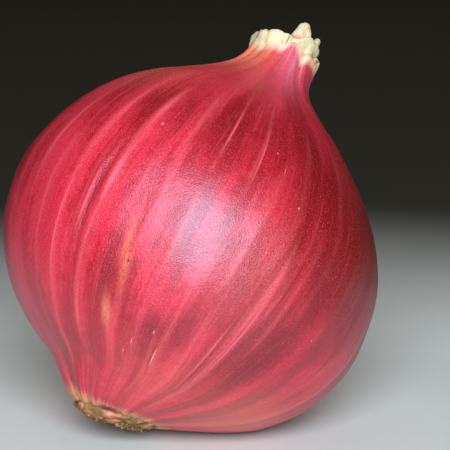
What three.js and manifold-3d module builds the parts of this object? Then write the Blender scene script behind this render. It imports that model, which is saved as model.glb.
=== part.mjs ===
// A red onion, pulled, dried and trimmed, lying on its side on a flat surface.
//
// The bulb grew as one piece, so it is one solid: a globe that ends below in the trimmed root plate and
// draws in above to a short dry neck, where two torn leaf ends stand up.
// Units are millimetres. In the bulb's own frame its axis is Z, with the root plate at Z = 0 and the neck up.
// In the part's frame +Z is up from the table, and the origin is the middle of the bounding box's base.

import * as THREE from "three";
import { mergeVertices } from "three/addons/utils/BufferGeometryUtils.js";
import Module from "manifold-3d";

// Driving dimensions of the bulb, as radius and height along its axis.
const EQUATOR_RADIUS = 38;
const EQUATOR_HEIGHT = 37.5;
const SKIN_RIM = { radius: 8.6, height: 1.6 }; // where the skin ends round the root plate
const SHOULDER = { radius: 18.1, height: 67.8 }; // where the outline turns from bulging to hollow
const NECK_RADIUS = 6.5;
const COLLAR_HEIGHT = 81.5; // where the red skin ends round the neck
const CORE_RADIUS = 5.2; // the dried leaf bases inside the collar
const CORE_HEIGHT = 83;

// The centre line isn't straight. It leans by SKEW from the equator to either end, and along X too it
// steps aside at the root plate, over the lowest heights, and at the neck, over the highest.
const SKEW = 2.6;
const ROOT_STEP = { offset: -4.1, from: 0, to: 8.4 };
const NECK_STEP = { offset: 5, from: 60, to: 84 };

// How the bulb lies: its axis leans from the vertical, towards this bearing from +X, and a small flat
// is pressed into the skin where it rests.
const LEAN_DEG = 32;
const BEARING_DEG = 45;
const FLAT_DEPTH = 0.9;

// The torn leaf ends on the neck: offset of the middle from the neck's axis, width, and height of the tip.
const LEAF_ENDS = [
  { offset: -3.3, width: 6.4, tip: 86 },
  { offset: 2.9, width: 6.4, tip: 89.6 },
];
const LEAF_END_THICKNESS = 5.4;
const LEAF_END_FOOT = 80;

const SEGMENTS_AROUND = 64;
const POINTS_PER_CURVE = 14;

const wasm = await Module();
wasm.setup();

const point = (radius, height) => new THREE.Vector2(radius, height);

// The outline from the root plate's middle to the top of the neck's core.
function bulbOutline() {
  const rim = point(SKIN_RIM.radius, SKIN_RIM.height);
  const equator = point(EQUATOR_RADIUS, EQUATOR_HEIGHT);
  const shoulder = point(SHOULDER.radius, SHOULDER.height);
  const neck = point(NECK_RADIUS, COLLAR_HEIGHT);
  const curves = [
    new THREE.CubicBezierCurve(rim, point(24, 7.4), point(EQUATOR_RADIUS, 16), equator),
    new THREE.CubicBezierCurve(equator, point(EQUATOR_RADIUS, 51.5), point(24.1, 64.8), shoulder),
    new THREE.CubicBezierCurve(shoulder, point(12, 72), point(NECK_RADIUS, 75), neck),
  ];
  const rootPlate = [point(0, 0), point(6, 0.1), point(7.4, 0.8), point(7.8, 1.6)];
  const neckTop = [
    point(NECK_RADIUS - 0.5, COLLAR_HEIGHT + 0.6),
    point(CORE_RADIUS, COLLAR_HEIGHT),
    point(CORE_RADIUS - 0.4, CORE_HEIGHT),
    point(0, CORE_HEIGHT + 0.4),
  ];
  const skin = curves.flatMap((curve, i) => curve.getSpacedPoints(POINTS_PER_CURVE).slice(i ? 1 : 0));
  return [...rootPlate, ...skin, ...neckTop];
}

// The centre line's sideways offset at a height.
function wander(height) {
  const { smoothstep } = THREE.MathUtils;
  const skew = (SKEW * (EQUATOR_HEIGHT - height)) / EQUATOR_HEIGHT;
  const atRoot = ROOT_STEP.offset * (1 - smoothstep(height, ROOT_STEP.from, ROOT_STEP.to));
  const atNeck = NECK_STEP.offset * smoothstep(height, NECK_STEP.from, NECK_STEP.to);
  return skew + atRoot + atNeck;
}

// Moves each vertex sideways with the centre line.
function bendAlongCentreLine(geometry) {
  const position = geometry.getAttribute("position");
  for (let i = 0; i < position.count; i++) {
    position.setX(i, position.getX(i) + wander(position.getZ(i)));
  }
  return geometry;
}

// The body of revolution. A lathe turns about Y, so it is stood up onto Z.
function bulbGeometry() {
  const lathe = new THREE.LatheGeometry(bulbOutline(), SEGMENTS_AROUND);
  return bendAlongCentreLine(lathe.rotateX(Math.PI / 2));
}

// One torn leaf end: a rounded tongue standing on the neck's core.
function leafEndGeometry({ offset, width, tip }) {
  const half = width / 2;
  const side = (LEAF_END_FOOT + tip) / 2;
  const tongue = new THREE.Shape();
  tongue.moveTo(-half * 0.7, LEAF_END_FOOT);
  tongue.lineTo(half * 0.7, LEAF_END_FOOT);
  tongue.quadraticCurveTo(half, side, half * 0.8, side + 0.2 * (tip - side));
  tongue.quadraticCurveTo(half * 0.4, tip, 0, tip);
  tongue.quadraticCurveTo(-half * 0.8, tip, -half, side);
  tongue.closePath();
  const slab = new THREE.ExtrudeGeometry(tongue, {
    depth: LEAF_END_THICKNESS,
    bevelEnabled: false,
    curveSegments: 5,
  });
  slab.translate(0, 0, -LEAF_END_THICKNESS / 2).rotateX(Math.PI / 2);
  return slab.translate(offset + wander(COLLAR_HEIGHT), 0, 0);
}

// A closed geometry as a manifold-3d solid.
function solidOf(geometry) {
  const bare = geometry.clone().deleteAttribute("normal").deleteAttribute("uv");
  const merged = mergeVertices(bare, 1e-3);
  return new wasm.Manifold(
    new wasm.Mesh({
      numProp: 3,
      vertProperties: merged.getAttribute("position").array,
      triVerts: new Uint32Array(merged.index.array),
    }),
  );
}

function geometryOf(solid) {
  const { vertProperties, triVerts } = solid.getMesh();
  const geometry = new THREE.BufferGeometry();
  geometry.setAttribute("position", new THREE.BufferAttribute(new Float32Array(vertProperties), 3));
  geometry.setIndex(new THREE.BufferAttribute(new Uint32Array(triVerts), 1));
  return geometry;
}

// The turn from the bulb's own frame to how it lies: the neck leans over towards the bearing,
// and the bulb isn't spun about its own axis.
function lyingTurn() {
  const lean = THREE.MathUtils.degToRad(LEAN_DEG);
  const bearing = THREE.MathUtils.degToRad(BEARING_DEG);
  const hinge = new THREE.Vector3(-Math.sin(bearing), Math.cos(bearing), 0);
  return new THREE.Quaternion().setFromAxisAngle(hinge, lean);
}

// The whole onion in its lying pose, with the flat pressed into its lowest side.
function onionGeometry() {
  const turn = lyingTurn();
  const turned = (geometry) => solidOf(geometry.applyQuaternion(turn));
  const whole = LEAF_ENDS.reduce(
    (solid, leafEnd) => solid.add(turned(leafEndGeometry(leafEnd))),
    turned(bulbGeometry()),
  );
  const lowest = whole.boundingBox().min[2];
  const tableSize = 4 * EQUATOR_RADIUS;
  const table = new THREE.BoxGeometry(tableSize, tableSize, tableSize);
  table.translate(0, 0, lowest + FLAT_DEPTH - tableSize / 2);
  return geometryOf(whole.subtract(solidOf(table)));
}

const skinColour = new THREE.MeshStandardMaterial({ color: "#b3263f", roughness: 0.42, metalness: 0 });
const geometry = onionGeometry();
geometry.computeVertexNormals();
geometry.computeBoundingBox();
const { min, max } = geometry.boundingBox;

const onion = new THREE.Mesh(geometry, skinColour);
onion.name = "onion";
onion.position.set(-(min.x + max.x) / 2, -(min.y + max.y) / 2, -min.z);

const part = new THREE.Group();
part.add(onion);

export default part;
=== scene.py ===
"""A red onion lying on its side: striped papery skin, a short dry neck with torn leaf ends, and a root plate.

Sizes in the dataclasses are millimetres in the bulb's own frame, where the bulb's axis is Z, the root plate
is at height 0 and the neck is up. Bearings are degrees round that axis from +X. A finished mesh is in
metres in the part's frame, where +Z is up from the table.
"""

import logging
import math
from dataclasses import dataclass, field
from enum import Enum
from functools import cached_property, reduce
from typing import Optional, Union

import bpy
import numpy as np
from mathutils import Matrix, Vector


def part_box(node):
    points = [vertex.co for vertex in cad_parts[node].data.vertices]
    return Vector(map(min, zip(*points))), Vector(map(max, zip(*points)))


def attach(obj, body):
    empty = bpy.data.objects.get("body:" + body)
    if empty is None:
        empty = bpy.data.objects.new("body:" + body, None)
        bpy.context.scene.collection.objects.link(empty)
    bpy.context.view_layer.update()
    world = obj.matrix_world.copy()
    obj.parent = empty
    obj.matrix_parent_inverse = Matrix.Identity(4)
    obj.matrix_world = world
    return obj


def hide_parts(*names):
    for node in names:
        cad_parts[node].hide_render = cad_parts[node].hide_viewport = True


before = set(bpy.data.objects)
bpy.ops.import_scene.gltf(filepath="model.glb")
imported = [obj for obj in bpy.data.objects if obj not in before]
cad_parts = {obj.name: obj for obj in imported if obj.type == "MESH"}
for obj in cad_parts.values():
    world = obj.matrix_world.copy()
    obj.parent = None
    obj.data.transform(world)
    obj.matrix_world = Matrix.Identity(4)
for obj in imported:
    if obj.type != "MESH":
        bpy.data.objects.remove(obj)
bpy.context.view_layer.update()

CAD_NODE = "onion"
BODY = "root"
METRES_PER_MM = 0.001

Socket = bpy.types.NodeSocket
Amount = Union[bpy.types.NodeSocket, float]
Triple = tuple[float, float, float]
Tint = tuple[float, float, float, float]
Array = np.ndarray
Numbers = Union[np.ndarray, float]
Values = dict[str, Array]
Body = tuple[Array, list[list[int]], Values]

log = logging.getLogger("onion")


def smoothstep(value: Array, start: float, end: float) -> Array:
    """Rises from 0 at start to 1 at end along 3t^2 - 2t^3; where end is less than start, it falls."""
    t = np.clip((np.asarray(value, float) - start) / (end - start), 0.0, 1.0)
    return t * t * (3.0 - 2.0 * t)


def cubic_curve(points: list[tuple[float, float]], steps: int) -> Array:
    """Points along a cubic Bezier curve: (1-t)^3 a + 3(1-t)^2 t b + 3(1-t) t^2 c + t^3 d."""
    t, (a, b, c, d) = np.linspace(0.0, 1.0, steps)[:, None], np.array(points, float)
    return (1 - t) ** 3 * a + 3 * (1 - t) ** 2 * t * b + 3 * (1 - t) * t**2 * c + t**3 * d


def distances_along(path: Array) -> Array:
    """The distance along a path from its start to each of its points."""
    return np.concatenate([[0.0], np.cumsum(np.hypot(*np.diff(path, axis=0).T))])


def points_along(path: Array, distances: Array) -> Array:
    """Points of a path at some distances from its start."""
    reached = distances_along(path)
    return np.stack([np.interp(distances, reached, path[:, part]) for part in (0, 1)], axis=1)


def ripple(points: Array, wavelength: float, seed: int, waves: int = 16) -> Array:
    """Smooth noise without seams: a sum of cosines of plane waves in random directions.

    Args:
        points: Places in space, in the last axis.
        wavelength: Typical distance from crest to crest.
        seed: Picks the waves' directions, lengths and phases.
        waves: How many waves are added.

    Returns:
        Noise with a mean near 0 and a spread near 1.
    """
    rng = np.random.default_rng(seed)
    directions = rng.normal(size=(waves, 3))
    directions /= np.linalg.norm(directions, axis=1, keepdims=True)
    lengths = wavelength * rng.uniform(0.7, 1.6, (waves, 1))
    phases = rng.uniform(0.0, 2 * np.pi, waves)
    angles = points @ (directions / lengths).T * 2 * np.pi + phases
    return np.cos(angles).sum(axis=-1) / math.sqrt(waves / 2)


@dataclass(frozen=True)
class Ripples:
    """Uneven relief: how high it stands, how far it is from crest to crest, and its seed."""

    height: float
    wavelength: float
    seed: int

    def over(self, points: Array, shift: int = 0) -> Array:
        """The relief at each point, with the seed moved on by a shift."""
        return self.height * ripple(points, self.wavelength, self.seed + shift)


def relief_of(group: tuple[Ripples, ...], points: Array, shift: int = 0) -> Array:
    """The sum of several kinds of relief at each point."""
    return sum(ripples.over(points, shift) for ripples in group)


def apart(bearing: Array, other: float) -> Array:
    """Degrees from one bearing to another the short way round, between -180 and 180."""
    return (np.asarray(bearing) - other + 180.0) % 360.0 - 180.0


def bell(distance: Array, width: float) -> Array:
    """A bell curve, exp(-(distance / width)^2)."""
    return np.exp(-((distance / width) ** 2))


def window(value: Array, start: float, end: float, fade: float) -> Array:
    """1 between start and end, falling smoothly to 0 over the fade outside them."""
    return smoothstep(value, start - fade, start) * smoothstep(value, end + fade, end)


def placed(bearing: Numbers, radius: Numbers, height: Numbers = 0.0) -> Array:
    """Points at a bearing and a distance from the Z axis, and at a height."""
    x, y = radius * np.cos(np.radians(bearing)), radius * np.sin(np.radians(bearing))
    return np.stack(np.broadcast_arrays(x, y, height), axis=-1)


def turned(path: Array, columns: int) -> tuple[Array, Array, Array]:
    """The grid that a path makes when it's turned round the axis.

    Args:
        path: Radius and height of each row.
        columns: How many points go round.

    Returns:
        Radius, bearing and height, each as rows by columns.
    """
    bearing = np.arange(columns) * 360.0 / columns
    radius, bearing = np.meshgrid(path[:, 0], bearing, indexing="ij")
    return radius, bearing, np.repeat(path[:, 1:], columns, axis=1)


def square_corners(index: Array) -> list[list[int]]:
    """The squares of a sheet, from its points' numbers laid out as rows by columns."""
    corners = (index[:-1, :-1], index[:-1, 1:], index[1:, 1:], index[1:, :-1])
    return np.stack(corners, axis=-1).reshape(-1, 4).tolist()


def turned_out(body: Body) -> Body:
    """The same closed body with its faces pointing out.

    The volume inside, the sum of a . (b x c) / 6 over the triangles, is below 0 while they point in.

    Args:
        body: A body whose faces have three or four corners.

    Returns:
        The body, turned inside out if need be.
    """
    points, faces, values = body
    four = np.array([[*face, face[0]][:4] for face in faces])
    a, b, c, d = (points[four[:, corner]] for corner in range(4))
    if (a * np.cross(b, c) + a * np.cross(c, d)).sum() < 0:
        faces = [face[::-1] for face in faces]
    return points, faces, values


def add_object(name: str, data: bpy.types.ID) -> bpy.types.Object:
    """A new object at the origin of the scene, made from its mesh, light or camera."""
    bpy.context.scene.collection.objects.link(made := bpy.data.objects.new(name, data))
    return made


def make_piece(name: str, body: Body, material: bpy.types.Material) -> bpy.types.Object:
    """Puts a closed mesh into the scene, dressed, and riding on the onion's body.

    Args:
        name: The piece's name.
        body: Its points in metres in the part's frame, its faces, and the values kept at each point.
        material: Its finish, which reads the kept values.

    Returns:
        The piece.
    """
    points, faces, values = body
    mesh = bpy.data.meshes.new(name)
    mesh.from_pydata(points.tolist(), [], faces)
    for label, value in values.items():
        is_vector = value.ndim == 2
        layer = mesh.attributes.new(label, "FLOAT_VECTOR" if is_vector else "FLOAT", "POINT")
        layer.data.foreach_set("vector" if is_vector else "value", value.astype(np.float32).ravel())
    mesh.shade_smooth()
    mesh.update()
    mesh.materials.append(material)
    piece = add_object(name, mesh)
    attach(piece, BODY)
    return piece


def closed_by_poles(grid: Array, values: Values) -> Body:
    """A body from a grid whose columns run all the way round, with its end rows drawn to points.

    Args:
        grid: Points, as rows by columns by 3.
        values: Kept values, each as rows by columns, or rows by columns by 3.

    Returns:
        The body, with each pole's row brought down to one point.
    """
    rows, columns = grid.shape[:2]
    count = (rows - 2) * columns

    def with_poles(array: Array) -> Array:
        """The inner rows as one list, and then the two poles."""
        inner = array[1:-1].reshape(count, *array.shape[2:])
        return np.concatenate([inner, array[:1].mean(axis=1), array[-1:].mean(axis=1)])

    number = np.arange(count).reshape(rows - 2, columns)
    number = np.concatenate([number, number[:, :1]], axis=1)
    faces = square_corners(number)
    bottom, top = number[0], number[-1]
    faces += np.stack([np.full(columns, count), bottom[1:], bottom[:-1]], axis=1).tolist()
    faces += np.stack([np.full(columns, count + 1), top[:-1], top[1:]], axis=1).tolist()
    kept = {label: with_poles(value) for label, value in values.items()}
    return turned_out((with_poles(grid), faces, kept))


def pillow(front: Array, back: Array, values: Values) -> Body:
    """A closed thin body from two facing sheets that meet along their borders.

    Args:
        front: The front sheet's points, as rows by columns by 3.
        back: The back sheet's points; its border is taken to be the front's.
        values: Kept values, each as rows by columns, or rows by columns by 3, the same on both sheets.

    Returns:
        The body.
    """
    rows, columns = front.shape[:2]
    number = np.arange(rows * columns).reshape(rows, columns)
    behind = number.copy()
    inside = (rows - 2) * (columns - 2)
    behind[1:-1, 1:-1] = rows * columns + np.arange(inside).reshape(rows - 2, columns - 2)

    def both(face: Array, reverse: Array) -> Array:
        """The front sheet's rows as one list, and then the back sheet's inner ones."""
        tail = face.shape[2:]
        return np.concatenate([face.reshape(-1, *tail), reverse[1:-1, 1:-1].reshape(-1, *tail)])

    faces = square_corners(number) + [face[::-1] for face in square_corners(behind)]
    kept = {label: both(value, value) for label, value in values.items()}
    return turned_out((both(front, back), faces, kept))


def joined(bodies: list[Body]) -> Body:
    """Several bodies as one, with their points, faces and kept values in one list of each."""
    starts = np.cumsum([0] + [len(points) for points, _, _ in bodies]).tolist()
    faces = [[corner + start for corner in face] for start, body in zip(starts, bodies) for face in body[1]]
    values = {label: np.concatenate([body[2][label] for body in bodies]) for label in bodies[0][2]}
    return np.concatenate([points for points, _, _ in bodies]), faces, values


@dataclass(frozen=True)
class BulbForm:
    """The bulb's outline, its wandering centre line and how it lies, which every piece shares."""

    equator_radius: float = 38.0
    equator_height: float = 37.5
    rim_radius: float = 8.6
    rim_height: float = 1.6
    shoulder_radius: float = 18.1
    shoulder_height: float = 67.8
    neck_radius: float = 6.5
    collar_height: float = 81.5
    skew: float = 2.6
    root_step: float = -4.1
    root_step_top: float = 8.4
    root_sag: float = 1.7
    root_sag_bearing: float = -150.0
    root_sag_top: float = 7.0
    neck_step: float = 5.0
    neck_step_from: float = 60.0
    neck_step_to: float = 84.0
    lean_deg: float = 32.0
    bearing_deg: float = 45.0
    flat_depth: float = 0.9
    contact_softness: float = 0.3
    twist: float = 0.29  # how far the veins turn round the bulb, in degrees per millimetre of height
    curve_steps: int = 240

    @cached_property
    def outline(self) -> Array:
        """Radius and height up the skin, from the root plate's rim to the collar, as three cubic curves."""
        knots = [(self.rim_radius, self.rim_height), (24.0, 7.4), (self.equator_radius, 16.0)]
        knots += [(self.equator_radius, self.equator_height), (self.equator_radius, 51.5), (24.1, 64.8)]
        knots += [(self.shoulder_radius, self.shoulder_height), (12.0, 72.0), (self.neck_radius, 75.0)]
        knots += [(self.neck_radius, self.collar_height)]
        curves = [cubic_curve(knots[first : first + 4], self.curve_steps) for first in (0, 3, 6)]
        return np.concatenate([curves[0], curves[1][1:], curves[2][1:]])

    def wander(self, height: Array) -> Array:
        """How far the centre line lies along X: a lean, a step at the root and a step at the neck."""
        skew = self.skew * (self.equator_height - height) / self.equator_height
        at_root = self.root_step * smoothstep(height, self.root_step_top, 0.0)
        at_neck = self.neck_step * smoothstep(height, self.neck_step_from, self.neck_step_to)
        return skew + at_root + at_neck

    def sag(self, radius: Array, bearing: Array, height: Array) -> Array:
        """How far the bulb hangs lower round its root plate, most of all towards one side."""
        forward = radius * np.cos(np.radians(apart(bearing, self.root_sag_bearing))) / self.rim_radius
        return self.root_sag * smoothstep(forward, -1.05, 1.05) * smoothstep(height, self.root_sag_top, 1.0)

    def stand(self, radius: Array, bearing: Array, height: Array) -> Array:
        """Points in the bulb's frame at a radius and a bearing from the centre line."""
        upright = placed(bearing, radius, height - self.sag(radius, bearing, height))
        return upright + self.wander(height)[..., None] * (1.0, 0.0, 0.0)

    @cached_property
    def turn(self) -> Array:
        """The turn from the bulb's frame to how it lies: the neck leans over towards the bearing."""
        bearing = math.radians(self.bearing_deg)
        hinge = Vector((-math.sin(bearing), math.cos(bearing), 0.0))
        return np.array(Matrix.Rotation(math.radians(self.lean_deg), 3, hinge))

    @cached_property
    def shift(self) -> Array:
        """The move after the turn, which centres the bulb on the frame's box and presses its flat to 0."""
        bearing, (radius, height) = np.arange(0.0, 360.0, 1.0)[:, None], self.outline.T
        leaning = self.stand(radius[None], bearing, height[None]).reshape(-1, 3) @ self.turn.T
        low, high = leaning.min(axis=0), leaning.max(axis=0)
        box = np.array(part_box(CAD_NODE)) / METRES_PER_MM
        move = box.mean(axis=0) - (low + high) / 2
        move[2] = -low[2] - self.flat_depth
        return move

    def lying(self, points: Array) -> Array:
        """Points in the bulb's frame brought to the part's frame, both in millimetres."""
        return points @ self.turn.T + self.shift

    def lay_down(self, points: Array) -> Array:
        """Points in the bulb's frame, in millimetres, brought to the part's frame in metres.

        The table stops them: a height z becomes (z + sqrt(z^2 + k^2)) / 2, which is z well above the table
        and a little over 0 below it.
        """
        x, y, z = np.moveaxis(self.lying(points), -1, 0)
        return np.stack([x, y, (z + np.hypot(z, self.contact_softness)) / 2], axis=-1) * METRES_PER_MM

    def vein(self, bearing: Array, height: Array) -> Array:
        """The bearing at which a vein crosses the equator, for a point further along it."""
        return bearing - self.twist * (height - self.equator_height)

    def grain(self, bearing: Array, height: Array) -> Array:
        """A place on a straight cylinder for each point, so that patterns run along the veins."""
        return placed(self.vein(bearing, height), self.equator_radius, height)


class Bench:
    """A material's node tree, with a short method for each kind of node that the finishes use."""

    def __init__(self, name: str) -> None:
        """Starts an empty material."""
        self.material = bpy.data.materials.new(name)
        self.material.use_nodes = True
        self.tree = self.material.node_tree
        self.tree.nodes.clear()

    def node(self, kind: str, settings: Optional[dict[str, str]] = None, **inputs: object) -> bpy.types.Node:
        """Adds a node, sets its properties, and links or sets its inputs by name or number.

        Args:
            kind: The node's type.
            settings: The node's own properties.
            **inputs: Sockets to link or values to set, by input name, or i0, i1 and so on by place.

        Returns:
            The new node.
        """
        node = self.tree.nodes.new(kind)
        for key, value in (settings or {}).items():
            setattr(node, key, value)
        for key, value in inputs.items():
            by_place = len(key) == 2 and key[0] == "i" and key[1].isdigit()
            socket = node.inputs[int(key[1]) if by_place else key.replace("_", " ")]
            if isinstance(value, bpy.types.NodeSocket):
                self.tree.links.new(value, socket)
            else:
                socket.default_value = value
        return node

    def kept(self, label: str, vector: bool = False) -> Socket:
        """A value or vector that the mesh keeps under this label."""
        node = self.node("ShaderNodeAttribute", {"attribute_name": label, "attribute_type": "GEOMETRY"})
        return node.outputs["Vector" if vector else "Fac"]

    def place(self) -> Socket:
        """The point's place in the piece, in metres."""
        return self.node("ShaderNodeTexCoord").outputs["Object"]

    def stretched(self, vector: Socket, along: float) -> Socket:
        """A vector with its third part multiplied by a factor, which draws a pattern out along it."""
        multiply = {"operation": "MULTIPLY"}
        return self.node("ShaderNodeVectorMath", multiply, i0=vector, i1=(1, 1, along)).outputs[0]

    def length(self, vector: Socket) -> Socket:
        """The length of a vector."""
        return self.node("ShaderNodeVectorMath", {"operation": "LENGTH"}, i0=vector).outputs["Value"]

    def noise(self, vector: Socket, size: float, detail: float = 2.0, rough: float = 0.5) -> Socket:
        """Noise between 0 and 1, mostly near a half, whose features' size is in the vector's units."""
        inputs = {"Vector": vector, "Scale": 1.0 / size, "Detail": detail, "Roughness": rough}
        return self.node("ShaderNodeTexNoise", None, **inputs).outputs[0]

    def add(self, first: Amount, second: Amount) -> Socket:
        """The sum of two amounts."""
        return self.node("ShaderNodeMath", {"operation": "ADD"}, i0=first, i1=second).outputs[0]

    def times(self, first: Amount, second: Amount) -> Socket:
        """The product of two amounts."""
        return self.node("ShaderNodeMath", {"operation": "MULTIPLY"}, i0=first, i1=second).outputs[0]

    def remap(self, value: Socket, start: float, end: float, low: float = 0.0, high: float = 1.0) -> Socket:
        """A smooth step from low at start to high at end, which may be less than start."""
        smooth, ends = {"interpolation_type": "SMOOTHSTEP"}, {"i1": start, "i2": end, "i3": low, "i4": high}
        return self.node("ShaderNodeMapRange", smooth, i0=value, **ends).outputs[0]

    def blend(self, factor: Amount, first: Union[Socket, Tint], second: Union[Socket, Tint]) -> Socket:
        """A colour that goes from the first to the second as the factor goes from 0 to 1."""
        inputs = {"i0": factor, "i6": first, "i7": second}
        return self.node("ShaderNodeMix", {"data_type": "RGBA"}, **inputs).outputs[2]

    def layered(self, base: Union[Socket, Tint], layers: list[tuple[Amount, Tint]]) -> Socket:
        """A colour with layers over it, each a share and a colour, from the lowest up."""
        return reduce(lambda under, layer: self.blend(layer[0], under, layer[1]), layers, base)

    def bump(self, height: Socket, distance: float, normal: Optional[Socket] = None) -> Socket:
        """A normal tilted by a pattern, in which 1 stands for the distance in metres."""
        under = {} if normal is None else {"Normal": normal}
        return self.node("ShaderNodeBump", None, Height=height, Distance=distance, **under).outputs[0]

    def finish(self, **inputs: object) -> bpy.types.Material:
        """Ends the material in one Principled surface.

        Args:
            **inputs: The surface's inputs, by name with _ for a space.

        Returns:
            The material.
        """
        shader = self.node("ShaderNodeBsdfPrincipled", None, **inputs)
        self.node("ShaderNodeOutputMaterial", None, Surface=shader.outputs[0])
        return self.material


def colour(red: int, green: int, blue: int) -> Tint:
    """A screen colour, 0 to 255 a part, as the light amounts that a shader takes."""
    parts = np.array([red, green, blue]) / 255.0
    linear = np.where(parts <= 0.04045, parts / 12.92, ((parts + 0.055) / 1.055) ** 2.4)
    return (*linear.tolist(), 1.0)


class MarkKind(Enum):
    """What a small mark on the skin is, with its colour; the dark fold lines are painted shade."""

    SCRATCH = colour(236, 148, 122)
    # A pale vein line with a painted highlight on it; beside the crease it is the lit side of the step
    HIGHLIGHTED_VEIN = colour(236, 92, 112)
    # Dark lines of painted shade in creases and in the crack at the root rim
    FOLD_SHADE = colour(108, 6, 20)
    SPECK = colour(80, 18, 20)
    CHIP = colour(244, 186, 186)


@dataclass(frozen=True)
class Mark:
    """A small mark on the skin, a slim oval given by its middle on the vein grid and its half sizes."""

    kind: MarkKind
    vein: float
    height: float
    half_width: float
    half_length: float
    strength: float

    def paint(self, bench: Bench, grain: Socket, form: BulbForm) -> tuple[Socket, Tint]:
        """The mark as a layer of the skin's colour.

        The vein grid is moved, turned and shrunk so that the mark fills a ball of radius 1, where it ends.

        Args:
            bench: The material's node tree.
            grain: The vein grid's place.
            form: The bulb's shape.

        Returns:
            The mark's share and its colour.
        """
        inputs = {
            "Vector": grain,
            "Location": placed(self.vein, form.equator_radius, self.height).tolist(),
            "Rotation": (0.0, 0.0, math.radians(self.vein)),
            "Scale": (form.equator_radius / 2, self.half_width, self.half_length),
        }
        moved = bench.node("ShaderNodeMapping", {"vector_type": "TEXTURE"}, **inputs).outputs[0]
        return bench.remap(bench.length(moved), 1.0, 0.2, 0.0, self.strength), self.kind.value


def marks(kind: MarkKind, *rows: tuple[float, ...]) -> tuple[Mark, ...]:
    """Marks of one kind, each given by its vein, height, half width, half length and strength."""
    return tuple(Mark(kind, *row) for row in rows)


SKIN_MARKS = (
    # The crease: a line of painted shade, with the painted highlight of its lit side at -123.1 below
    *marks(MarkKind.FOLD_SHADE, (-121.7, 32.5, 0.3, 11, 0.85)),
    *marks(
        MarkKind.HIGHLIGHTED_VEIN,
        (-123.1, 33, 0.55, 9, 0.8), (-118.3, 37.5, 0.8, 7, 0.8), (-94.3, 54.5, 0.3, 7, 0.7),
        (-130.7, 26, 0.35, 13, 0.7), (-147, 45, 0.4, 12, 0.6), (-139.5, 30, 0.35, 12, 0.5),
        (-66, 14, 0.35, 9, 0.6), (-61, 20, 0.35, 12, 0.6), (-82.4, 52, 0.3, 9, 0.6),
    ),
    *marks(
        # Dark lines of painted shade along creases and the crack at the root rim
        MarkKind.FOLD_SHADE,
        (-82.8, 35, 0.3, 10, 0.45), (-109.6, 52, 0.3, 8, 0.45), (-57.5, 32, 0.35, 11, 0.45),
        (-91, 1.8, 13, 0.36, 0.9),
    ),
    *marks(
        MarkKind.SCRATCH,
        (-83.3, 10.4, 0.26, 2.2, 1), (-93.7, 11.6, 0.3, 0.9, 0.6), (-96.6, 9.7, 0.3, 0.5, 0.6),
        (-86.7, 14.2, 0.25, 0.5, 0.7), (-73.9, 50.6, 0.16, 1.2, 0.5),
    ),
    *marks(
        MarkKind.CHIP,
        (-114.9, 50.2, 0.28, 0.28, 0.9), (-77.9, 53.7, 0.25, 0.25, 0.6), (-66.2, 45, 0.25, 0.3, 0.6),
        (-39.3, 24.8, 0.22, 0.22, 0.6),
    ),
    *marks(
        MarkKind.SPECK,
        (-105.6, 44, 0.5, 0.5, 0.6), (-105.1, 38.8, 0.4, 0.4, 0.75), (-103.9, 34.7, 0.35, 0.45, 0.5),
        (-104, 31.4, 0.3, 0.4, 0.9), (-103, 23.8, 0.35, 0.35, 0.9), (-103.5, 25.5, 0.25, 0.3, 0.6),
        (-103.5, 21.9, 0.22, 0.22, 0.6), (-94.9, 41.3, 0.35, 0.3, 0.6), (-77.1, 13.8, 0.55, 0.45, 0.55),
    ),
)


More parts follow.
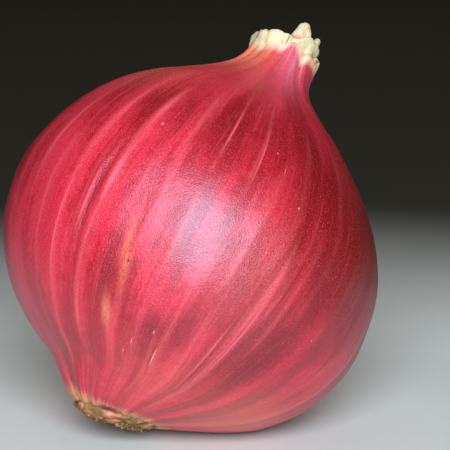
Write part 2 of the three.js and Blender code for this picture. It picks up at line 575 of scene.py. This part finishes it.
@dataclass(frozen=True)
class SkinFinish:
    """Glossy papery red skin: crimson ground, coral veins, rust where it dries, and a cellular grain, with
    some rosy, peach and mauve patches as painted light and the fold marks as painted shade.
    """

    name: str = "red_onion_skin"
    deep: Tint = colour(132, 4, 14)
    ground: Tint = colour(174, 10, 28)
    rosy_and_painted_light: Tint = colour(210, 40, 62)
    coral: Tint = colour(232, 88, 98)
    pale: Tint = colour(236, 128, 146)
    peach_and_painted_light: Tint = colour(236, 132, 96)
    mauve_painted_light: Tint = colour(214, 114, 132)
    rust: Tint = colour(112, 34, 16)
    tan: Tint = colour(206, 138, 98)
    brown: Tint = colour(132, 84, 52)
    cream: Tint = colour(236, 214, 172)
    blotch_mm: float = 7.5
    streak_mm: float = 1.5
    thread_mm: float = 0.5
    mottle_m: float = 0.0022
    speckle_m: float = 0.00026
    mottle_bump_m: float = 0.00009
    speckle_bump_m: float = 0.00008
    shine: float = 1.0
    shine_tint: Tint = (0.40, 0.80, 1.0, 1.0)
    marks: tuple[Mark, ...] = SKIN_MARKS

    def make(self, form: BulbForm) -> bpy.types.Material:
        """Builds the material: ground and rosy red, the kept regions, threads and speckles, and the marks.

        Args:
            form: The bulb's shape, which places the marks.

        Returns:
            The skin material.
        """
        bench = Bench(self.name)
        kept, remap, times = bench.kept, bench.remap, bench.times
        grain, place = kept("grain", vector=True), bench.place()
        blotch = bench.noise(bench.stretched(grain, 0.3), self.blotch_mm, 3.0)
        streak = bench.noise(bench.stretched(grain, 0.08), self.streak_mm, 3.0, 0.62)
        thread = bench.noise(bench.stretched(grain, 0.06), self.thread_mm, 2.0, 0.6)
        mottle = bench.noise(place, self.mottle_m, 3.0, 0.6)
        speckle = bench.noise(place, self.speckle_m, 2.0, 0.65)
        tone = bench.add(bench.add(times(blotch, 0.5), times(streak, 0.25)), times(mottle, 0.25))
        dry = bench.add(kept("dry"), remap(streak, 0.3, 0.7, -0.15, 0.15))
        layers = [
            # rosy is the skin's own tone, and also painted light on the lower left limb, from the floor's
            # bounce at the lower right, and on the shoulder under the neck
            (bench.add(remap(tone, 0.41, 0.60), kept("rosy_and_painted_light")), self.rosy_and_painted_light),
            (bench.add(kept("deep"), remap(blotch, 0.36, 0.62, 0.26, -0.20)), self.deep),
            (times(kept("pale"), remap(streak, 0.3, 0.62, 0.35, 1.0)), self.coral),
            (remap(streak, 0.54, 0.74, 0.0, 0.22), self.coral),
            (remap(thread, 0.54, 0.74, 0.0, 0.13), self.coral),
            (remap(thread, 0.44, 0.28, 0.0, 0.30), self.deep),
            (kept("rust"), self.rust),
            # peach is the skin's own orange streaks, and also painted floor bounce at the lower right and a
            # painted warm sheen left of the neck
            (times(kept("peach_and_painted_light"), remap(streak, 0.3, 0.6, 0.45, 1.0)), self.peach_and_painted_light),
            # mauve is painted light: highlights on the neck's folds and light on the lower left limb
            (times(kept("mauve_painted_light"), remap(streak, 0.6, 0.35, 0.5, 1.0)), self.mauve_painted_light),
            (remap(speckle, 0.50, 0.30, 0.0, 0.45), self.deep),
            (remap(speckle, 0.55, 0.75, 0.0, 0.30), self.pale),
            (remap(dry, 0.2, 0.9), self.tan),
            (times(kept("scorch"), remap(mottle, 0.35, 0.65)), self.brown),
            (kept("torn"), self.cream),
        ]
        layers += [mark.paint(bench, grain, form) for mark in self.marks]
        return bench.finish(
            Base_Color=bench.layered(self.ground, layers),
            Roughness=bench.add(remap(speckle, 0.3, 0.7, 0.33, 0.46), times(kept("dry"), 0.3)),
            Normal=bench.bump(speckle, self.speckle_bump_m, bench.bump(mottle, self.mottle_bump_m)),
            Specular_IOR_Level=self.shine,
            Specular_Tint=self.shine_tint,
        )


@dataclass(frozen=True)
class TornLeafFinish:
    """Dry cream leaf tissue, fibrous along the leaf, pinker at its foot, and tan where it's outer husk; on
    the tall back leaf the pink is painted shade in the gap behind the front leaf.
    """

    name: str = "torn_leaf"
    cream: Tint = colour(208, 202, 164)
    straw: Tint = colour(190, 160, 110)
    rose_and_gap_shade: Tint = colour(206, 132, 108)
    husk: Tint = colour(176, 128, 74)
    fibre_mm: float = 0.5
    crumb_m: float = 0.0014
    fibre_bump_m: float = 0.00012
    crumb_bump_m: float = 0.0002

    def make(self) -> bpy.types.Material:
        """Builds the torn leaf material."""
        bench = Bench(self.name)
        along, place = bench.kept("grain", vector=True), bench.place()
        fibre = bench.noise(bench.stretched(along, 0.15), self.fibre_mm, 3.0, 0.6)
        crumb = bench.noise(place, self.crumb_m, 4.0, 0.6)
        # The pink at a leaf's foot, which on the tall back leaf is painted shade in the gap behind the front
        # leaf
        foot = bench.add(bench.kept("pink_and_gap_shade"), bench.remap(crumb, 0.3, 0.7, -0.15, 0.15))
        layers = [
            (bench.remap(fibre, 0.24, 0.56), self.cream),
            (bench.remap(crumb, 0.52, 0.75, 0.0, 0.6), self.straw),
            (bench.remap(foot, 0.1, 1.0), self.rose_and_gap_shade),
            (bench.kept("husk"), self.husk),
        ]
        base = bench.layered(self.straw, layers)
        fibrous = bench.bump(fibre, self.fibre_bump_m, bench.bump(crumb, self.crumb_bump_m))
        return bench.finish(Base_Color=base, Roughness=bench.remap(fibre, 0.3, 0.7, 0.6, 0.8), Normal=fibrous)


@dataclass(frozen=True)
class CorkFinish:
    """The root plate's cork: an olive brown ground, darkened as painted shade since the plate faces the
    table, tan in clouds, brown in its crumbs and cracks, and pinkish where it's fresh.
    """

    name: str = "root_cork"
    tan: Tint = colour(188, 132, 86)
    # Darkened as painted shade, since the plate faces the table
    olive_and_shade: Tint = colour(122, 94, 52)
    brown: Tint = colour(96, 54, 38)
    pinkish: Tint = colour(204, 130, 104)
    cloud_m: float = 0.004
    crumb_m: float = 0.0007
    crumb_bump_m: float = 0.0002

    def make(self) -> bpy.types.Material:
        """Builds the cork material."""
        bench = Bench(self.name)
        place = bench.place()
        cloud = bench.noise(place, self.cloud_m, 3.0)
        crumb = bench.noise(place, self.crumb_m, 4.0, 0.65)
        layers = [
            (bench.remap(cloud, 0.44, 0.62), self.tan),
            (bench.kept("fresh"), self.pinkish),
            (bench.remap(crumb, 0.5, 0.72, 0.0, 0.6), self.brown),
            (bench.kept("crack"), self.brown),
        ]
        base, rough = bench.layered(self.olive_and_shade, layers), bench.remap(crumb, 0.3, 0.7, 0.7, 0.9)
        return bench.finish(Base_Color=base, Roughness=rough, Normal=bench.bump(crumb, self.crumb_bump_m))


@dataclass(frozen=True)
class Stripe:
    """A pale stripe along a vein: where it crosses the equator, its width in degrees, and its ends."""

    vein: float
    width: float
    start: float
    end: float
    strength: float
    fade: float = 7.0

    def over(self, vein: Array, height: Array) -> Array:
        """The strength times a soft bell with a narrow one in its middle, faded out at the ends."""
        off, along = apart(vein, self.vein), window(height, self.start, self.end, self.fade)
        return self.strength * along * (0.65 * bell(off, self.width) + 0.25 * bell(off, 0.4 * self.width))


FRONT_STRIPES = tuple(
    Stripe(*row)
    for row in (
        (-158, 2.4, 24, 44, 0.35), (-147.4, 2.2, 36, 60, 0.5), (-139, 2.4, 12, 42, 0.35),
        (-130.7, 1.5, 11, 60, 0.6), (-124.2, 1.8, 26, 40, 0.35), (-118.4, 1.7, 14, 55, 1),
        (-105, 1.6, 46, 58, 0.55), (-103, 1, 12, 36, 0.35), (-94.3, 0.5, 48, 61, 0.5),
        (-93.2, 1.2, 10, 34, 0.35), (-82.8, 0.9, 43, 61, 0.5), (-82.4, 0.9, 12, 21, 0.4),
        (-74.5, 0.9, 29, 46, 0.4), (-72.4, 1.2, 9, 18, 0.35), (-66.7, 0.9, 6, 13, 0.4),
        (-65.4, 1.1, 33, 58, 0.35), (-62, 1.9, 7, 33, 0.8), (-54.9, 0.9, 21, 39, 0.35),
        (-49.5, 1.3, 30, 56, 0.25), (-31, 1.8, 34, 44, 0.2),
    )
)


def hidden_stripes(seed: int = 7) -> tuple[Stripe, ...]:
    """Stripes for the sides that face away, spread evenly with a little chance in each.

    Args:
        seed: Picks how they differ.

    Returns:
        The stripes, in order round the bulb.
    """
    rng = np.random.default_rng(seed)
    veins = np.arange(-20.0, 190.0, 7.0)
    ranges = ((0.7, 2.0), (6.0, 26.0), (40.0, 62.0), (0.3, 0.9), (-3.0, 3.0))
    *others, shifts = (rng.uniform(low, high, len(veins)) for low, high in ranges)
    return tuple(Stripe(*row) for row in np.stack([veins + shifts, *others], axis=1).tolist())


@dataclass(frozen=True)
class Patch:
    """A soft oval region of the bulb: its middle, how far it reaches each way, and how much it adds there."""

    bearing: float
    height: float
    spread_deg: float
    reach: float
    amount: float

    def over(self, bearing: Array, height: Array) -> Array:
        """The amount times a bell curve across and a bell curve along."""
        across = bell(apart(bearing, self.bearing), self.spread_deg)
        return self.amount * across * bell(height - self.height, self.reach)


def patches(*rows: tuple[float, ...]) -> tuple[Patch, ...]:
    """Patches, each given by its bearing, height, spread, reach and amount."""
    return tuple(Patch(*row) for row in rows)


LUMPS = patches(
    (-6, 32, 45, 26, 0.55), (2, 18, 40, 9, 0.3), (-178, 30, 25, 12, 0.45),
    (165, 6, 30, 7, -0.45), (-5, 81, 32, 4, 1.1), (-96.5, 9.6, 2.6, 1.3, -0.5),
)
TINTED_PATCHES = {
    "deep": patches(
        (-28, 44, 37, 20, 1), (-56, 42, 15, 16, 0.5), (-58, 18, 16, 10, 0.8),
        (-98, 56, 44, 7.5, 0.7), (-156, 42, 14, 10, 0.3), (-114, 21, 4.5, 5, 0.7),
        (-95, 14.5, 7.5, 3.4, 0.9), (-84, 16.5, 6, 3.5, 0.6), (-74, 11, 7, 3.5, 0.5),
        (60, 45, 40, 20, 0.5), (150, 50, 30, 14, 0.4),
    ),
    # (-172, 14) is painted light on the lower left limb, (-15, 9) is painted floor bounce at the lower right,
    # and (-85, 69) is painted light on the shoulder under the neck
    "rosy_and_painted_light": patches(
        (-138, 30, 20, 14, 0.5), (-172, 14, 34, 14, 0.6), (-15, 9, 38, 7, 0.8),
        (-85, 5, 30, 4, 0.4), (-85, 69, 65, 5.5, 1), (-150, 56, 22, 7, 0.5),
        (110, 25, 35, 14, 0.4),
    ),
    "rust": patches(
        (-10, 50, 32, 15, 0.85), (-110, 63, 70, 4, 0.12), (-168, 38, 14, 14, 0.3),
        (90, 62, 60, 6, 0.35),
    ),
    # (-22, 7) is painted floor bounce at the lower right; (-140, 77.5) and (-146, 66) are orange skin left of
    # the neck, brightened by a painted warm sheen
    "peach_and_painted_light": patches(
        (-108, 25, 1.4, 5.5, 0.75), (-112.5, 14.5, 1.4, 2.4, 1), (-86, 7, 28, 5, 0.18),
        (-70, 30, 10, 12, 0.1), (-22, 7, 24, 6, 0.62), (-140, 77.5, 36, 5, 1),
        (-146, 66, 24, 6.5, 0.4), (60, 76, 40, 5, 0.6),
    ),
    # All painted light: highlights on the neck's folds at (-62, 78), (-4, 74) and (140, 77), and light on the
    # lower left limb at (-164, 17)
    "mauve_painted_light": patches(
        (-62, 78, 24, 6, 0.95), (-4, 74, 18, 8, 1), (-164, 17, 16, 13, 0.3),
        (140, 77, 30, 6, 0.5),
    ),
}


def total_of(group: tuple[Union[Patch, Stripe], ...], bearing: Array, height: Array) -> Array:
    """The sum of the patches at a bearing, or of the stripes at a vein, between 0 and 1."""
    return np.clip(sum(member.over(bearing, height) for member in group), 0.0, 1.0)


@dataclass
class Skin:
    """The onion's outer skin, from under the root plate up to its torn edge and down inside the neck."""

    form: BulbForm
    finish: SkinFinish = field(default_factory=SkinFinish)
    columns: int = 400
    rows: int = 236
    stripes: tuple[Stripe, ...] = FRONT_STRIPES + hidden_stripes()
    vein_relief: float = 0.16
    ribs: Ripples = Ripples(0.07, 7.0, 3)
    growth: tuple[Ripples, ...] = (Ripples(0.22, 46.0, 11), Ripples(0.05, 9.0, 12))
    puckers: Ripples = Ripples(0.08, 6.5, 21)
    pleat_depth: float = 0.30
    pleat_waves: tuple[Triple, ...] = ((0.25, 3, 0.6), (0.225, 5, 2.1), (0.2, 9, -0.9), (0.25, 19, 1.3))
    pleat_turn: float = -7.0
    pleat_drift: float = 0.5  # degrees per millimetre of height
    pleat_span: tuple[float, float] = (60.0, 79.0)
    pucker_span: tuple[float, float] = (10.0, 2.0)
    fold_vein: float = -121.6
    fold_height: float = 0.2
    fold_span: Triple = (22.0, 42.0, 6.0)
    tears: tuple[Ripples, ...] = (Ripples(0.55, 7.0, 31), Ripples(0.385, 2.4, 32))
    tear_reach: float = 6.0
    collar_peak: Patch = Patch(-150.0, 0.0, 26.0, 1.0, 0.5)
    neck_crowding: float = 1.2
    neck_crowded: tuple[float, float] = (-24.0, -12.0)  # millimetres along the outline, from its top
    root_crowding: float = 0.8
    root_crowded: tuple[float, float] = (12.0, 4.0)  # and from its foot
    floor: tuple[tuple[float, float], ...] = ((0.0, 2.6), (4.0, 2.5), (7.4, 2.3), (8.1, 1.9))
    lip: tuple[tuple[float, float], ...] = (
        (-0.2, 0.25), (-0.55, 0.2), (-0.8, -0.2), (-1.0, -1.2), (-1.1, -2.6), (-1.8, -3.6), (-6.5, -3.8),
    )

    def rows_along(self) -> Array:
        """Radius and height of each row: a floor behind the root plate, the outline, then the lip's inside.

        Returns:
            The rows, closer together towards the root and the neck.
        """
        outline = self.form.outline
        length = distances_along(outline)[-1]
        fine = np.linspace(0.0, length, 2000)
        density = 1.0 + self.neck_crowding * smoothstep(fine - length, *self.neck_crowded)
        density += self.root_crowding * smoothstep(fine, *self.root_crowded)
        steps = np.concatenate([[0.0], np.cumsum((density[1:] + density[:-1]) / 2)])
        skin = points_along(outline, np.interp(np.linspace(0.0, steps[-1], self.rows), steps, fine))
        lip = np.array(self.lip) + (self.form.neck_radius, self.form.collar_height)
        return np.concatenate([self.floor, skin, lip])

    def relief(self, bearing: Array, height: Array, radius: Array) -> Array:
        """How far each point stands out from the plain outline: the sum of every kind of relief.

        Args:
            bearing: Bearing of each point.
            height: Height of each point.
            radius: Radius of each point on the plain outline.

        Returns:
            The distance outwards in millimetres.
        """
        form, girth = self.form, np.clip(radius / self.form.equator_radius, 0.0, 1.0)
        vein, grain = form.vein(bearing, height), form.grain(bearing, height)
        veins = self.vein_relief * np.sqrt(girth) * total_of(self.stripes, vein, height)
        ribs = girth * self.ribs.over(grain * (1, 1, 0.08))
        growth = girth * relief_of(self.growth, form.stand(radius, bearing, height))
        pleats = self.pleat_depth * self.pleats(bearing, height) * smoothstep(height, *self.pleat_span)
        puckers = self.puckers.over(grain * (1, 1, 0.3)) * smoothstep(height, *self.pucker_span)
        lumps = sum(lump.over(bearing, height) for lump in LUMPS)
        off = apart(vein, self.fold_vein)
        fold = self.fold_height * window(height, *self.fold_span) * (bell(off + 1.1, 0.9) - bell(off, 0.7))
        return veins + ribs + growth + pleats + puckers + lumps + fold

    def pleats(self, bearing: Array, height: Array) -> Array:
        """Folds up the neck: cosines of several counts round it, drifting with height, with narrow valleys.

        Args:
            bearing: Bearing of each point.
            height: Height of each point.

        Returns:
            The folds, with a mean near 0.
        """
        drift = self.pleat_drift * (height - self.form.shoulder_height)
        angle = np.radians(bearing + self.pleat_turn + drift)
        folds = sum(size * np.cos(count * angle + phase) for size, count, phase in self.pleat_waves)
        valleys = np.abs(np.sin(6.5 * angle + 0.8 * np.sin(2 * angle))) ** 0.6
        return folds + 0.7 * (valleys - 0.7)

    def torn_edge(self, bearing: Array) -> Array:
        """How far the collar's torn edge stands above or below its plain height."""
        ring = placed(bearing, self.form.neck_radius)
        return relief_of(self.tears, ring) + self.collar_peak.over(bearing, 0.0)

    def kept_values(self, bearing: Array, height: Array) -> Values:
        """What the finish reads at each point: the vein grid and the strength of each colour, some of which
        paint light.

        Args:
            bearing: Bearing of each point.
            height: Height of each point.

        Returns:
            The kept values by name.
        """
        form, top = self.form, self.form.collar_height
        uneven = ripple(placed(bearing, form.neck_radius), 3.0, seed=43)
        dry_top = 3.1 + 1.8 * bell(apart(bearing, -155.0), 30.0)
        return {
            "grain": form.grain(bearing, height),
            "pale": total_of(self.stripes, form.vein(bearing, height), height),
            **{label: total_of(group, bearing, height) for label, group in TINTED_PATCHES.items()},
            "dry": smoothstep(height, dry_top, 1.3),
            "scorch": 0.5 * smoothstep(height, 2.6, 1.4),
            "torn": 0.72 * smoothstep(height + 0.8 * uneven, top - 1.9, top + 0.3),
        }

    def build(self) -> bpy.types.Object:
        """Makes the skin, puts its finish on and lets it stand for the CAD's onion.

        Returns:
            The piece.
        """
        form, path, first = self.form, self.rows_along(), len(self.floor)
        radius, bearing, height = turned(path, self.columns)
        row, last = np.arange(len(path))[:, None], first + self.rows - 1
        outer = np.where(row < first, 0.0, smoothstep(row, last + 5, last))
        slope = np.gradient(path, axis=0)
        slope /= np.linalg.norm(slope, axis=1, keepdims=True)
        out = self.relief(bearing, height, radius) * outer
        below_top = form.collar_height - height
        tear = self.torn_edge(bearing) * smoothstep(below_top, self.tear_reach, 0.0)
        standing = form.stand(radius + out * slope[:, 1:], bearing, height - out * slope[:, :1] + tear)
        body = closed_by_poles(form.lay_down(standing), self.kept_values(bearing, height))
        piece = make_piece("onion_skin", body, self.finish.make(form))
        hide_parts(CAD_NODE)
        return piece


class Tissue(Enum):
    """What a leaf end is made of."""

    LEAF = "cream inner leaf"
    HUSK = "tan outer husk"


@dataclass(frozen=True)
class LeafEnd:
    """One torn leaf end on the neck: where it stands, how wide it wraps, and how high it reaches."""

    bearing: float
    spread_deg: float
    radius: float
    tip: float
    slope: float  # how much higher the tip is for each millimetre along X
    droop: float
    flare: float
    thickness: float
    pink_and_shade_top: float
    seed: int
    tissue: Tissue = Tissue.LEAF


@dataclass
class LeafEnds:
    """The dried inner leaves that stand torn inside the collar, in two clumps, and a flap of husk."""

    form: BulbForm
    finish: TornLeafFinish = field(default_factory=TornLeafFinish)
    foot: float = 78.6
    rows: int = 34
    columns: int = 64
    pink_and_shade_fade: float = 2.4
    tears: tuple[Ripples, ...] = (Ripples(0.22, 3.6, 100), Ripples(0.16, 1.4, 200))
    crumples: tuple[Ripples, ...] = (Ripples(0.20, 4.4, 300), Ripples(0.07, 1.7, 0))
    ends: tuple[LeafEnd, ...] = (
        LeafEnd(-168.0, 154.0, 5.5, 84.3, 0.20, 0.5, 1.3, 2.2, 81.0, 1),
        LeafEnd(-128.0, 96.0, 4.4, 84.3, 0.06, 0.5, 0.9, 2.0, 81.0, 2),
        LeafEnd(-36.0, 98.0, 4.9, 83.6, 0.40, 0.8, 1.5, 2.0, 83.2, 3),
        # The tall back leaf: its pink reaches high as painted shade in the gap behind the front leaf
        LeafEnd(62.0, 60.0, 4.5, 91.1, 0.0, 4.0, 0.4, 2.4, 88.6, 4),
        LeafEnd(12.0, 72.0, 4.9, 87.6, 0.0, 2.0, 0.6, 2.2, 83.5, 5),
        LeafEnd(118.0, 90.0, 5.0, 84.8, 0.1, 0.6, 0.8, 1.8, 83.0, 6),
        LeafEnd(-70.0, 260.0, 2.6, 84.0, 0.1, 1.0, 0.4, 2.4, 83.2, 7),
        LeafEnd(-6.0, 34.0, 6.6, 83.0, 0.0, 1.2, 0.7, 0.7, 79.0, 8, Tissue.HUSK),
    )

    def sheet(self, end: LeafEnd) -> Body:
        """One leaf end as a thin pillow.

        Its middle sheet wraps round the neck, from the foot up to a torn edge that slopes along X and droops
        with the square of the distance from the middle. It flares outwards with the square of the height.
        The two faces stand half a thickness off it, which falls to nothing along the border.

        Args:
            end: The leaf end.

        Returns:
            The leaf end's body.
        """
        form = self.form
        across, up = np.meshgrid(np.linspace(-1, 1, self.columns), np.linspace(0, 1, self.rows))
        bearing = end.bearing + across * end.spread_deg / 2
        ring = placed(bearing, end.radius)
        top = end.tip + end.slope * ring[..., 0] - end.droop * across**2
        top += relief_of(self.tears, ring, end.seed)
        height = self.foot + up * (top - self.foot)
        grain = placed(bearing, end.radius, height)
        radius = end.radius + end.flare * up**2 + relief_of(self.crumples, grain, end.seed)
        taper = (1 - np.abs(across) ** 8) * (1 - up**10) * (1 - (1 - up) ** 12)
        half = end.thickness / 2 * np.sqrt(np.clip(taper, 0, 1)) * (1 - 0.2 * up)
        front = form.lay_down(form.stand(radius + half, bearing, height))
        back = form.lay_down(form.stand(radius - half, bearing, height))
        husk = np.full_like(height, float(end.tissue is Tissue.HUSK))
        # Pink towards the foot; on the tall back leaf it is painted shade in the gap behind the front leaf
        pink_and_gap_shade = smoothstep(height, end.pink_and_shade_top, end.pink_and_shade_top - self.pink_and_shade_fade)
        return pillow(front, back, {"grain": grain, "pink_and_gap_shade": pink_and_gap_shade, "husk": husk})

    def build(self) -> bpy.types.Object:
        """Makes the leaf ends as one piece."""
        return make_piece("leaf_ends", joined([self.sheet(end) for end in self.ends]), self.finish.make())


@dataclass
class RootPlate:
    """The corky disc that the roots grew from: a shallow dome with cracks, and a knob at its rim."""

    form: BulbForm
    finish: CorkFinish = field(default_factory=CorkFinish)
    columns: int = 180
    rows: int = 80
    crumbs: tuple[Ripples, ...] = (Ripples(0.12, 3.2, 52), Ripples(0.06, 1.3, 53))
    cracks: Ripples = Ripples(1.0, 6.0, 51)
    crack_width: float = 0.14
    crack_depth: float = 0.35
    underside: tuple[tuple[float, float], ...] = ((0, -0.5), (3, -0.4), (5.2, -0.1), (7, 0.5), (8.1, 1.1))
    back: tuple[tuple[float, float], ...] = ((8.5, 1.7), (8.1, 2.3), (7, 2.8), (0, 3))
    knob: Patch = Patch(-96.0, 0.6, 12.0, 0.9, 0.5)
    rim_crack: Patch = Patch(-100.0, 1.7, 22.0, 0.35, 1.0)

    def build(self) -> bpy.types.Object:
        """Makes the root plate: a turned outline with crumbly relief and cracks that run out from its middle.

        Returns:
            The piece.
        """
        form, path = self.form, np.array(self.underside + self.back)
        steps = np.linspace(0.0, distances_along(path)[-1], self.rows)
        radius, bearing, height = turned(points_along(path, steps), self.columns)
        plain = form.stand(radius, bearing, height)
        rimward = smoothstep(radius, 5.0, 8.0)
        knob = self.knob.over(bearing, height) * rimward
        rim_crack = self.rim_crack.over(bearing, height) * rimward
        crack = bell(self.cracks.over(plain), self.crack_width) * smoothstep(radius, 1.0, 3.5)
        rise = (relief_of(self.crumbs, plain) - self.crack_depth * crack) * smoothstep(radius, 0.0, 1.5)
        outwards = 0.5 * rise * rimward + knob - 0.5 * rim_crack
        standing = form.lay_down(form.stand(radius + outwards, bearing, height - rise))
        fresh = np.clip(1.4 * knob / self.knob.amount, 0, 1)
        body = closed_by_poles(standing, {"crack": np.maximum(0.8 * crack, rim_crack), "fresh": fresh})
        return make_piece("root_plate", body, self.finish.make())


@dataclass
class RootStubs:
    """The dry roots, trimmed to short stubs all over the root plate."""

    form: BulbForm
    # Their tan is darker than the plate's, as painted shade under the plate
    finish: CorkFinish = field(default_factory=lambda: CorkFinish("root_stub", tan=colour(164, 128, 84)))
    count: int = 56
    inner_radius: float = 0.8
    outer_radius: float = 6.0
    longest: float = 0.5
    shortest: float = 0.2
    table_gap: float = 0.5
    thinnest: float = 0.24
    thickest: float = 0.40
    scatter: float = 0.15
    crookedness: float = 0.18
    sides: int = 7
    taper: tuple[float, ...] = (0.0, 1.15, 0.95, 0.85, 0.8, 0.0)
    seed: int = 61

    def stub(self, foot: Array, way: Array, length: float, thick: float, bend: Array) -> Body:
        """One stub: circles carried along a path that bends with the square of the distance.

        Args:
            foot: Where it leaves the plate, in the bulb's frame.
            way: The direction it grows in.
            length: How far it reaches.
            thick: Its radius at the foot.
            bend: How far its end lies off the straight way.

        Returns:
            The stub's body.
        """
        t = np.linspace(-0.3, 1.0, len(self.taper))[:, None, None]
        angle = np.linspace(0.0, 2 * np.pi, self.sides, endpoint=False)[None, :, None]
        side = np.cross(way, (0.3, 0.9, 0.2))
        side /= np.linalg.norm(side)
        round_it = np.cos(angle) * side + np.sin(angle) * np.cross(way, side)
        radius = thick * np.array(self.taper)[:, None, None]
        points = foot + way * length * t + bend * t**2 + round_it * radius
        plain = np.zeros(points.shape[:2])
        return closed_by_poles(self.form.lay_down(points), {"crack": plain, "fresh": plain})

    def build(self) -> bpy.types.Object:
        """Makes the stubs: their feet lie on a sunflower spiral, and they lean outwards, clear of the table.

        Returns:
            The piece.
        """
        rng = np.random.default_rng(self.seed)
        share = (np.arange(self.count) + 0.5) / self.count
        radius = self.inner_radius + (self.outer_radius - self.inner_radius) * np.sqrt(share)
        bearing = np.arange(self.count) * 137.5 + rng.uniform(-12.0, 12.0, self.count)
        under = np.array(RootPlate.underside)
        feet = self.form.stand(radius, bearing, np.interp(radius, under[:, 0], under[:, 1]))
        ways = placed(bearing, 0.06 * radius, -1.0) + rng.normal(0.0, self.scatter, (self.count, 3))
        ways /= np.linalg.norm(ways, axis=1, keepdims=True)
        room = self.form.lying(feet)[:, 2] - self.table_gap
        lengths = np.minimum(rng.uniform(self.shortest, self.longest, self.count), room)
        thick = rng.uniform(self.thinnest, self.thickest, self.count)
        bends = rng.normal(0.0, self.crookedness, (self.count, 3))
        kept = np.flatnonzero(lengths > self.shortest / 2)
        stubs = [self.stub(feet[k], ways[k], lengths[k], thick[k], bends[k]) for k in kept]
        return make_piece("root_stubs", joined(stubs), self.finish.make())


@dataclass(frozen=True)
class FloorFinish:
    """A pale matt table top that darkens into the backdrop."""

    name: str = "pale_floor"
    pale: Tint = colour(214, 222, 218)
    far: Tint = colour(52, 52, 42)
    fade_from: float = 0.08  # metres, as the next two are
    fade_to: float = 0.26
    cloud_size: float = 0.05
    cloud_share: float = 0.05
    roughness: float = 0.55

    def make(self) -> bpy.types.Material:
        """Builds the floor's material, whose colour changes with the distance from the middle."""
        bench = Bench(self.name)
        place = bench.place()
        fade = bench.remap(bench.length(place), self.fade_from, self.fade_to)
        cloud = bench.remap(bench.noise(place, self.cloud_size), 0.3, 0.7, 0.0, self.cloud_share)
        base = bench.layered(self.pale, [(fade, self.far), (cloud, self.far)])
        return bench.finish(Base_Color=base, Roughness=self.roughness)


@dataclass(frozen=True)
class Lamp:
    """A soft oval light that looks at the onion."""

    name: str
    azimuth: float  # degrees to the right of the camera's side of the onion
    elevation: float
    distance: float  # metres from the onion, as the size is
    size: tuple[float, float]
    watts: float
    tint: Triple = (1.0, 1.0, 1.0)
    shines: bool = True  # whether it shows as a highlight

    def hang(self, aim: Vector) -> None:
        """Puts the lamp into the scene.

        Args:
            aim: The place it looks at.
        """
        data = bpy.data.lights.new(self.name, "AREA")
        data.shape, data.energy, data.color = "ELLIPSE", self.watts, self.tint
        data.size, data.size_y = self.size
        light = add_object(self.name, data)
        around, up = math.radians(self.azimuth), math.radians(self.elevation)
        away = Vector((math.sin(around) * math.cos(up), -math.cos(around) * math.cos(up), math.sin(up)))
        light.location = aim + away * self.distance
        light.visible_glossy = self.shines
        light.rotation_euler = away.to_track_quat("Z", "Y").to_euler()


@dataclass
class Studio:
    """The round cove that the onion stands in, the soft lights and the camera."""

    finish: FloorFinish = field(default_factory=FloorFinish)
    cove_radius: float = 1.5
    cove_height: float = 1.6
    corner: float = 0.5
    steps: int = 24
    columns: int = 96
    camera_elevation_deg: float = 11.0
    camera_distance: float = 0.4
    lens_mm: float = 160.96
    sensor_mm: float = 36.0
    aim: Triple = (0.0, 0.0, 0.038)
    aim_right: float = 0.0068
    aim_up: float = 0.0029
    surround: Tint = (0.50, 0.49, 0.45, 1.0)
    surround_strength: float = 0.08
    lamps: tuple[Lamp, ...] = (
        Lamp("key", 2.0, 25.0, 0.80, (0.54, 0.45), 11.6, (0.95, 0.99, 1.08)),
        Lamp("back", 180.0, 44.0, 1.2, (1.3, 1.0), 2.6, (1.0, 0.80, 0.64), False),
    )

    def cove(self) -> None:
        """Makes the floor, a disc that curves up into a round wall, which is no part of the onion."""
        turn = np.linspace(0.0, np.pi / 2, self.steps)
        flat = self.cove_radius - self.corner
        bend = np.stack([flat + self.corner * np.sin(turn), self.corner * (1 - np.cos(turn))], axis=1)
        ground = np.linspace((0.0, 0.0), (flat, 0.0), self.steps)[:-1]
        path = np.concatenate([ground, bend, [(self.cove_radius, self.cove_height)]])
        radius, bearing, height = turned(path, self.columns)
        number = np.arange(radius.size).reshape(radius.shape)
        faces = square_corners(np.concatenate([number, number[:, :1]], axis=1))
        mesh = bpy.data.meshes.new("floor")
        mesh.from_pydata(placed(bearing, radius, height).reshape(-1, 3).tolist(), [], faces)
        mesh.shade_smooth()
        mesh.materials.append(self.finish.make())
        add_object("floor", mesh)

    def lights(self) -> None:
        """Hangs the lamps and sets the even grey surround."""
        for lamp in self.lamps:
            lamp.hang(Vector(self.aim))
        world = bpy.data.worlds.new("surround")
        world.use_nodes = True
        background = world.node_tree.nodes["Background"].inputs
        background["Color"].default_value = self.surround
        background["Strength"].default_value = self.surround_strength
        bpy.context.scene.world = world

    def camera(self) -> None:
        """Sets up the camera, low in front of the onion."""
        data = bpy.data.cameras.new("camera")
        data.lens, data.sensor_width, data.clip_start = self.lens_mm, self.sensor_mm, 0.01
        camera = add_object("camera", data)
        tilt = math.radians(self.camera_elevation_deg)
        right, up = Vector((1.0, 0.0, 0.0)), Vector((0.0, math.sin(tilt), math.cos(tilt)))
        back = Vector((0.0, -math.cos(tilt), math.sin(tilt)))
        aim = Vector(self.aim) + right * self.aim_right + up * self.aim_up
        camera.location = aim + back * self.camera_distance
        camera.rotation_euler = back.to_track_quat("Z", "Y").to_euler()
        bpy.context.scene.camera = camera

    def build(self) -> None:
        """Sets up the cove, the lights, the camera and the plain view transform."""
        self.cove()
        self.lights()
        self.camera()
        bpy.context.scene.view_settings.view_transform = "Standard"


def main() -> None:
    """Builds the studio and each piece in order."""
    logging.basicConfig(level=logging.INFO, format="%(message)s")
    Studio().build()
    form = BulbForm()
    for maker in (Skin(form), LeafEnds(form), RootPlate(form), RootStubs(form)):
        piece = maker.build()
        log.info("%s: %d points, %d faces", piece.name, len(piece.data.vertices), len(piece.data.polygons))


if __name__ == "__main__":
    main()
